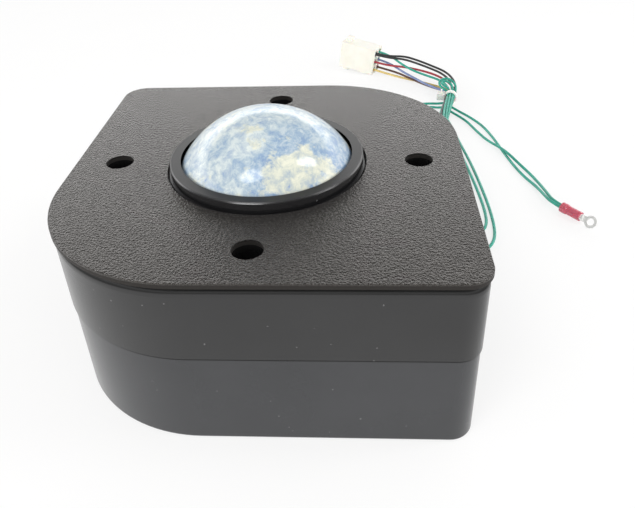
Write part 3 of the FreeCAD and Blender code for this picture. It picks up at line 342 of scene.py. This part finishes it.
# Plastics by slot: dark and light colour, grain in millimetres, roughness and any other surface values.
VINYL = {"Specular_IOR_Level": 0.45}
PLASTICS = {
    "wheel_plastic": ((0.012, 0.012, 0.012), (0.025, 0.025, 0.025), 0.5, 0.5, {}),
    "circuit_board": ((0.012, 0.09, 0.035), (0.03, 0.16, 0.07), 0.8, 0.4, {}),
    "sensor_plastic": ((0.015, 0.015, 0.016), (0.03, 0.03, 0.032), 0.4, 0.45, {}),
    "grommet_rubber": ((0.014, 0.014, 0.014), (0.03, 0.03, 0.03), 0.3, 0.65, {"depth_mm": 0.02}),
    "black_wire": ((0.012, 0.013, 0.013), (0.024, 0.026, 0.026), 0.4, 0.4, VINYL),
    "green_wire": ((0.017, 0.29, 0.21), (0.034, 0.39, 0.29), 0.4, 0.38, VINYL),
    "blue_wire": ((0.17, 0.22, 0.42), (0.25, 0.31, 0.52), 0.4, 0.4, VINYL),
    "brown_wire": ((0.075, 0.03, 0.018), (0.12, 0.05, 0.03), 0.4, 0.4, VINYL),
    "yellow_wire": ((0.62, 0.45, 0.14), (0.76, 0.58, 0.22), 0.4, 0.4, VINYL),
    "red_wire": ((0.3, 0.025, 0.035), (0.43, 0.045, 0.06), 0.4, 0.4, VINYL),
    "tie_nylon": (
        (0.8, 0.77, 0.73), (0.87, 0.85, 0.82), 0.4, 0.42,
        {"Subsurface_Weight": 0.15, "Subsurface_Scale": MM}),
    "connector_nylon": (
        (0.79, 0.77, 0.69), (0.85, 0.83, 0.76), 0.6, 0.4,
        {"Subsurface_Weight": 0.2, "Subsurface_Scale": MM}),
    "sleeve_vinyl": (
        (0.66, 0.11, 0.17), (0.78, 0.19, 0.25), 0.6, 0.25,
        {"Subsurface_Weight": 0.25, "Subsurface_Scale": MM, "Transmission_Weight": 0.25}),
}
# Metals by slot: dark and light colour, roughness, and how far the surface is bare metal.
METALS = {
    "roller_steel": ((0.5, 0.5, 0.5), (0.66, 0.66, 0.66), 0.25, 1.0),
    "bearing_steel": ((0.42, 0.42, 0.43), (0.6, 0.6, 0.6), 0.3, 1.0),
    "spring_steel": ((0.45, 0.43, 0.38), (0.62, 0.6, 0.54), 0.35, 1.0),
    "screw_zinc": ((0.5, 0.5, 0.47), (0.68, 0.67, 0.62), 0.32, 1.0),
    "contact_brass": ((0.5, 0.4, 0.2), (0.7, 0.6, 0.36), 0.35, 1.0),
    "terminal_tin": ((0.78, 0.78, 0.76), (0.9, 0.9, 0.88), 0.42, 0.5),
}


def finishes():
    """One material for each slot of the record."""
    made = {"plate_coat": powder_coat(), "black_housing": housing_plastic(), "marbled_ball": marbled_ball()}
    for slot, (dark, light, grain_mm, roughness, others) in PLASTICS.items():
        made[slot] = moulded(slot, dark, light, grain_mm, roughness, **others)
    for slot, (dark, light, roughness, metallic) in METALS.items():
        made[slot] = metal(slot, dark, light, roughness, metallic)
    return made


MATERIALS = finishes()
SLOTS = {part["node"]: part["material_slot"] for part in frame["record"]["subparts"]}
for node, slot in SLOTS.items():
    nodes[node].data.materials.clear()
    nodes[node].data.materials.append(MATERIALS[slot])


def metres(points):
    return [tuple(value * MM for value in point) for point in points]


def add_piece(name, data, slot, body="housing"):
    """Link a new piece into the scene, finish it and let it ride on its body."""
    piece = bpy.data.objects.new(name, data)
    bpy.context.scene.collection.objects.link(piece)
    data.materials.append(MATERIALS[slot])
    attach(piece, body)
    return piece


def smooth_curve(name, points, diameter_mm):
    """A smooth line with the route's points as its control points."""
    curve = bpy.data.curves.new(name, "CURVE")
    curve.dimensions = "3D"
    spline = curve.splines.new("NURBS")
    spline.points.add(len(points) - 1)
    for control, point in zip(spline.points, metres(points)):
        control.co = (*point, 1)
    spline.order_u = 3
    spline.use_endpoint_u = True
    spline.resolution_u = 10
    curve.bevel_depth = diameter_mm * MM / 2
    curve.bevel_resolution = 5
    curve.use_fill_caps = True
    return curve


def line_length(points):
    return sum((Vector(b) - Vector(a)).length for a, b in zip(points, points[1:]))


def points_along(curve):
    """The points of a curve's own line, read from the curve without its thickness."""
    bare = curve.copy()
    bare.bevel_depth = 0
    holder = bpy.data.objects.new("line", bare)
    bpy.context.scene.collection.objects.link(holder)
    bpy.context.view_layer.update()
    mesh = bpy.data.meshes.new_from_object(holder.evaluated_get(bpy.context.evaluated_depsgraph_get()))
    points = [vertex.co.copy() for vertex in mesh.vertices]
    bpy.data.objects.remove(holder)
    bpy.data.meshes.remove(mesh)
    bpy.data.curves.remove(bare)
    return points


def add_wire(node):
    """One harness wire in place of its plain solid."""
    curve = smooth_curve(node + "_line", WIRE_ROUTES[node], WIRE_DIAMETER_MM)
    piece = add_piece(node + "_vinyl", curve, SLOTS[node])
    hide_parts(node)
    length = line_length(points_along(curve))


def add_bundle():
    """The gathered harness: strands laid side by side with a slow twist."""
    strands = ["green_wire", "blue_wire", "brown_wire", "yellow_wire", "red_wire", "green_wire",
               "green_wire", "green_wire", "green_wire", "black_wire"]
    line = points_along(smooth_curve("bundle_line", BUNDLE_ROUTE, BUNDLE_DIAMETER_MM))
    strand_radius = WIRE_DIAMETER_MM * MM / 2
    lay_radius = BUNDLE_DIAMETER_MM * MM / 2 - strand_radius
    twist_degrees_per_mm = 1.1
    twist = math.radians(twist_degrees_per_mm) / MM
    sides = 10
    work = bmesh.new()
    for number in range(len(strands)):
        rings = []
        walked = 0.0
        for index, point in enumerate(line):
            before = line[max(index - 1, 0)]
            after = line[min(index + 1, len(line) - 1)]
            along = (after - before).normalized()
            side = along.cross(Vector((0, 0, 1))).normalized()
            up = side.cross(along)
            walked += (point - before).length
            angle = math.tau * number / len(strands) + walked * twist
            centre = point + (side * math.cos(angle) + up * math.sin(angle)) * lay_radius
            ring = []
            for step in range(sides):
                turn = math.tau * step / sides
                outward = side * math.cos(turn) + up * math.sin(turn)
                ring.append(work.verts.new(centre + outward * strand_radius))
            rings.append(ring)
        for first, second in zip(rings, rings[1:]):
            for step in range(sides):
                following = (step + 1) % sides
                face = work.faces.new((first[step], first[following], second[following], second[step]))
                face.material_index = number
                face.smooth = True
        for ring in (rings[0], rings[-1]):
            work.faces.new(ring).material_index = number
    bmesh.ops.recalc_face_normals(work, faces=work.faces)
    mesh = bpy.data.meshes.new("harness_strands")
    work.to_mesh(mesh)
    work.free()
    piece = add_piece("harness_strands", mesh, strands[0])
    for slot in strands[1:]:
        mesh.materials.append(MATERIALS[slot])
    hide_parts("harness_bundle")


add_bundle()
for wire in WIRE_ROUTES:
    if wire.endswith("_ground_wire"):
        add_wire(wire)
    elif wire.endswith("_wire"):
        add_wire(wire)
    else:
        add_wire(wire)


def add_ball():
    """The ball as a fine, truly round mesh."""
    low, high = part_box("ball")
    work = bmesh.new()
    bmesh.ops.create_icosphere(work, subdivisions=6, radius=(high.z - low.z) / 2)
    for face in work.faces:
        face.smooth = True
    mesh = bpy.data.meshes.new("polished_ball")
    work.to_mesh(mesh)
    work.free()
    mesh.transform(Matrix.Translation((low + high) / 2))
    piece = add_piece("polished_ball", mesh, "marbled_ball", "ball")
    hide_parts("ball")


add_ball()


def whiten(shader, share):
    """Blend a surface towards plain white where it is seen, straight or in a reflection."""
    paths = shader.add("ShaderNodeLightPath")
    seen = paths.outputs["Is Camera Ray"]
    for kind in ("Is Glossy Ray", "Is Transmission Ray"):
        seen = shader.math("MAXIMUM", seen, paths.outputs[kind])
    amount = shader.add("ShaderNodeMath", operation="MULTIPLY")
    amount.inputs[1].default_value = share
    shader.link(seen, amount.inputs[0])
    white = shader.add("ShaderNodeEmission")
    white.inputs["Color"].default_value = (1, 1, 1, 1)
    white.inputs["Strength"].default_value = 1
    blend = shader.add("ShaderNodeMixShader")
    shader.link(amount.outputs[0], blend.inputs[0])
    shader.link(shader.surface.outputs[0], blend.inputs[1])
    shader.link(white.outputs[0], blend.inputs[2])
    shader.link(blend.outputs[0], shader.tree.nodes["Material Output"].inputs["Surface"])


def add_floor():
    size, patch_mm = 6.0, 60
    mesh = bpy.data.meshes.new("floor")
    corners = [(-size, -size, 0), (size, -size, 0), (size, size, 0), (-size, size, 0)]
    mesh.from_pydata(corners, [], [(0, 1, 2, 3)])
    floor = bpy.data.objects.new("floor", mesh)
    bpy.context.scene.collection.objects.link(floor)
    shader = Shader("pale_floor")
    patches = shader.noise(patch_mm, detail=2)
    shader.colour(shader.ramp(patches, [(0.3, (0.955, 0.952, 0.945)), (0.7, (0.97, 0.967, 0.96))]))
    shader.set(Roughness=0.9, Specular_IOR_Level=0.0)
    whiten(shader, share=0.72)
    mesh.materials.append(shader.material)


def add_softbox(name, direction, across, distance, width, height, power):
    """An oval soft light that faces the ball, from a direction and with its width along another."""
    light = bpy.data.lights.new(name, "AREA")
    light.shape = "ELLIPSE"
    light.size = width
    light.size_y = height
    light.energy = power
    lamp = bpy.data.objects.new(name, light)
    bpy.context.scene.collection.objects.link(lamp)
    away = Vector(direction).normalized()
    upright = away.cross(Vector(across)).normalized()
    turn = Matrix((upright.cross(away), upright, away)).transposed()
    ball_centre = Vector((0, 0, 0.0532))
    lamp.matrix_world = Matrix.Translation(ball_centre + away * distance) @ turn.to_4x4()


def add_world():
    """A room with a bright band low on its walls, all round, and a dimmer ceiling.

    Each level is the rise of a direction, from 0 at the horizon to 1 straight up, and its strength.
    """
    levels = [(0.0, 1.0), (0.2, 2.2), (0.31, 3.8), (0.4, 2.9), (0.48, 0.75), (0.56, 0.3), (1.0, 0.45)]
    brightest = max(strength for rise, strength in levels)
    world = bpy.data.worlds.new("studio")
    bpy.context.scene.world = world
    world.use_nodes = True
    tree = world.node_tree
    direction = tree.nodes.new("ShaderNodeSeparateXYZ")
    tree.links.new(tree.nodes.new("ShaderNodeTexCoord").outputs["Generated"], direction.inputs["Vector"])
    band = tree.nodes.new("ShaderNodeFloatCurve")
    points = band.mapping.curves[0].points
    while len(points) < len(levels):
        points.new(0.5, 0.5)
    for point, (rise, strength) in zip(points, levels):
        point.location = (rise, strength / brightest)
        point.handle_type = "VECTOR"
    band.mapping.extend = "HORIZONTAL"
    band.mapping.update()
    tree.links.new(direction.outputs["Z"], band.inputs["Value"])
    strength = tree.nodes.new("ShaderNodeMath")
    strength.operation = "MULTIPLY"
    strength.inputs[1].default_value = brightest
    tree.links.new(band.outputs["Value"], strength.inputs[0])
    background = tree.nodes["Background"]
    background.inputs["Color"].default_value = (1, 1, 1, 1)
    tree.links.new(strength.outputs[0], background.inputs["Strength"])


def add_camera():
    """The photograph's view. Angles are in degrees, and the focal length in pixels of the photograph."""
    place_mm = Vector((34.64, -229.94, 195.41))
    azimuth, elevation, roll = (math.radians(angle) for angle in (3.946, 32.666, -2.348))
    focal_pixels, image_width = 671.21, 635
    principal_row, middle_row = 210, 254
    level = math.cos(elevation)
    look = Vector((-math.sin(azimuth) * level, math.cos(azimuth) * level, -math.sin(elevation)))
    right = look.cross(Vector((0, 0, 1))).normalized()
    up = right.cross(look)
    right, up = (
        right * math.cos(roll) + up * math.sin(roll), up * math.cos(roll) - right * math.sin(roll))
    data = bpy.data.cameras.new("camera")
    data.sensor_fit = "HORIZONTAL"
    data.lens = focal_pixels / image_width * data.sensor_width
    data.shift_y = (principal_row - middle_row) / image_width
    data.clip_start = 0.01
    camera = bpy.data.objects.new("camera", data)
    bpy.context.scene.collection.objects.link(camera)
    turn = Matrix((right, up, -look)).transposed()
    camera.matrix_world = Matrix.Translation(place_mm * MM) @ turn.to_4x4()
    bpy.context.scene.camera = camera


add_floor()
add_softbox(
    "left_softbox", direction=(-0.252, -0.52, 0.816), across=(0.451, -0.024, 0.12),
    distance=0.75, width=0.34, height=0.2, power=1.4)
add_softbox(
    "right_softbox", direction=(0.668, -0.022, 0.743), across=(0.243, 0.263, -0.215),
    distance=0.75, width=0.31, height=0.15, power=1.0)
add_world()
add_camera()
bpy.context.scene.view_settings.view_transform = "Standard"
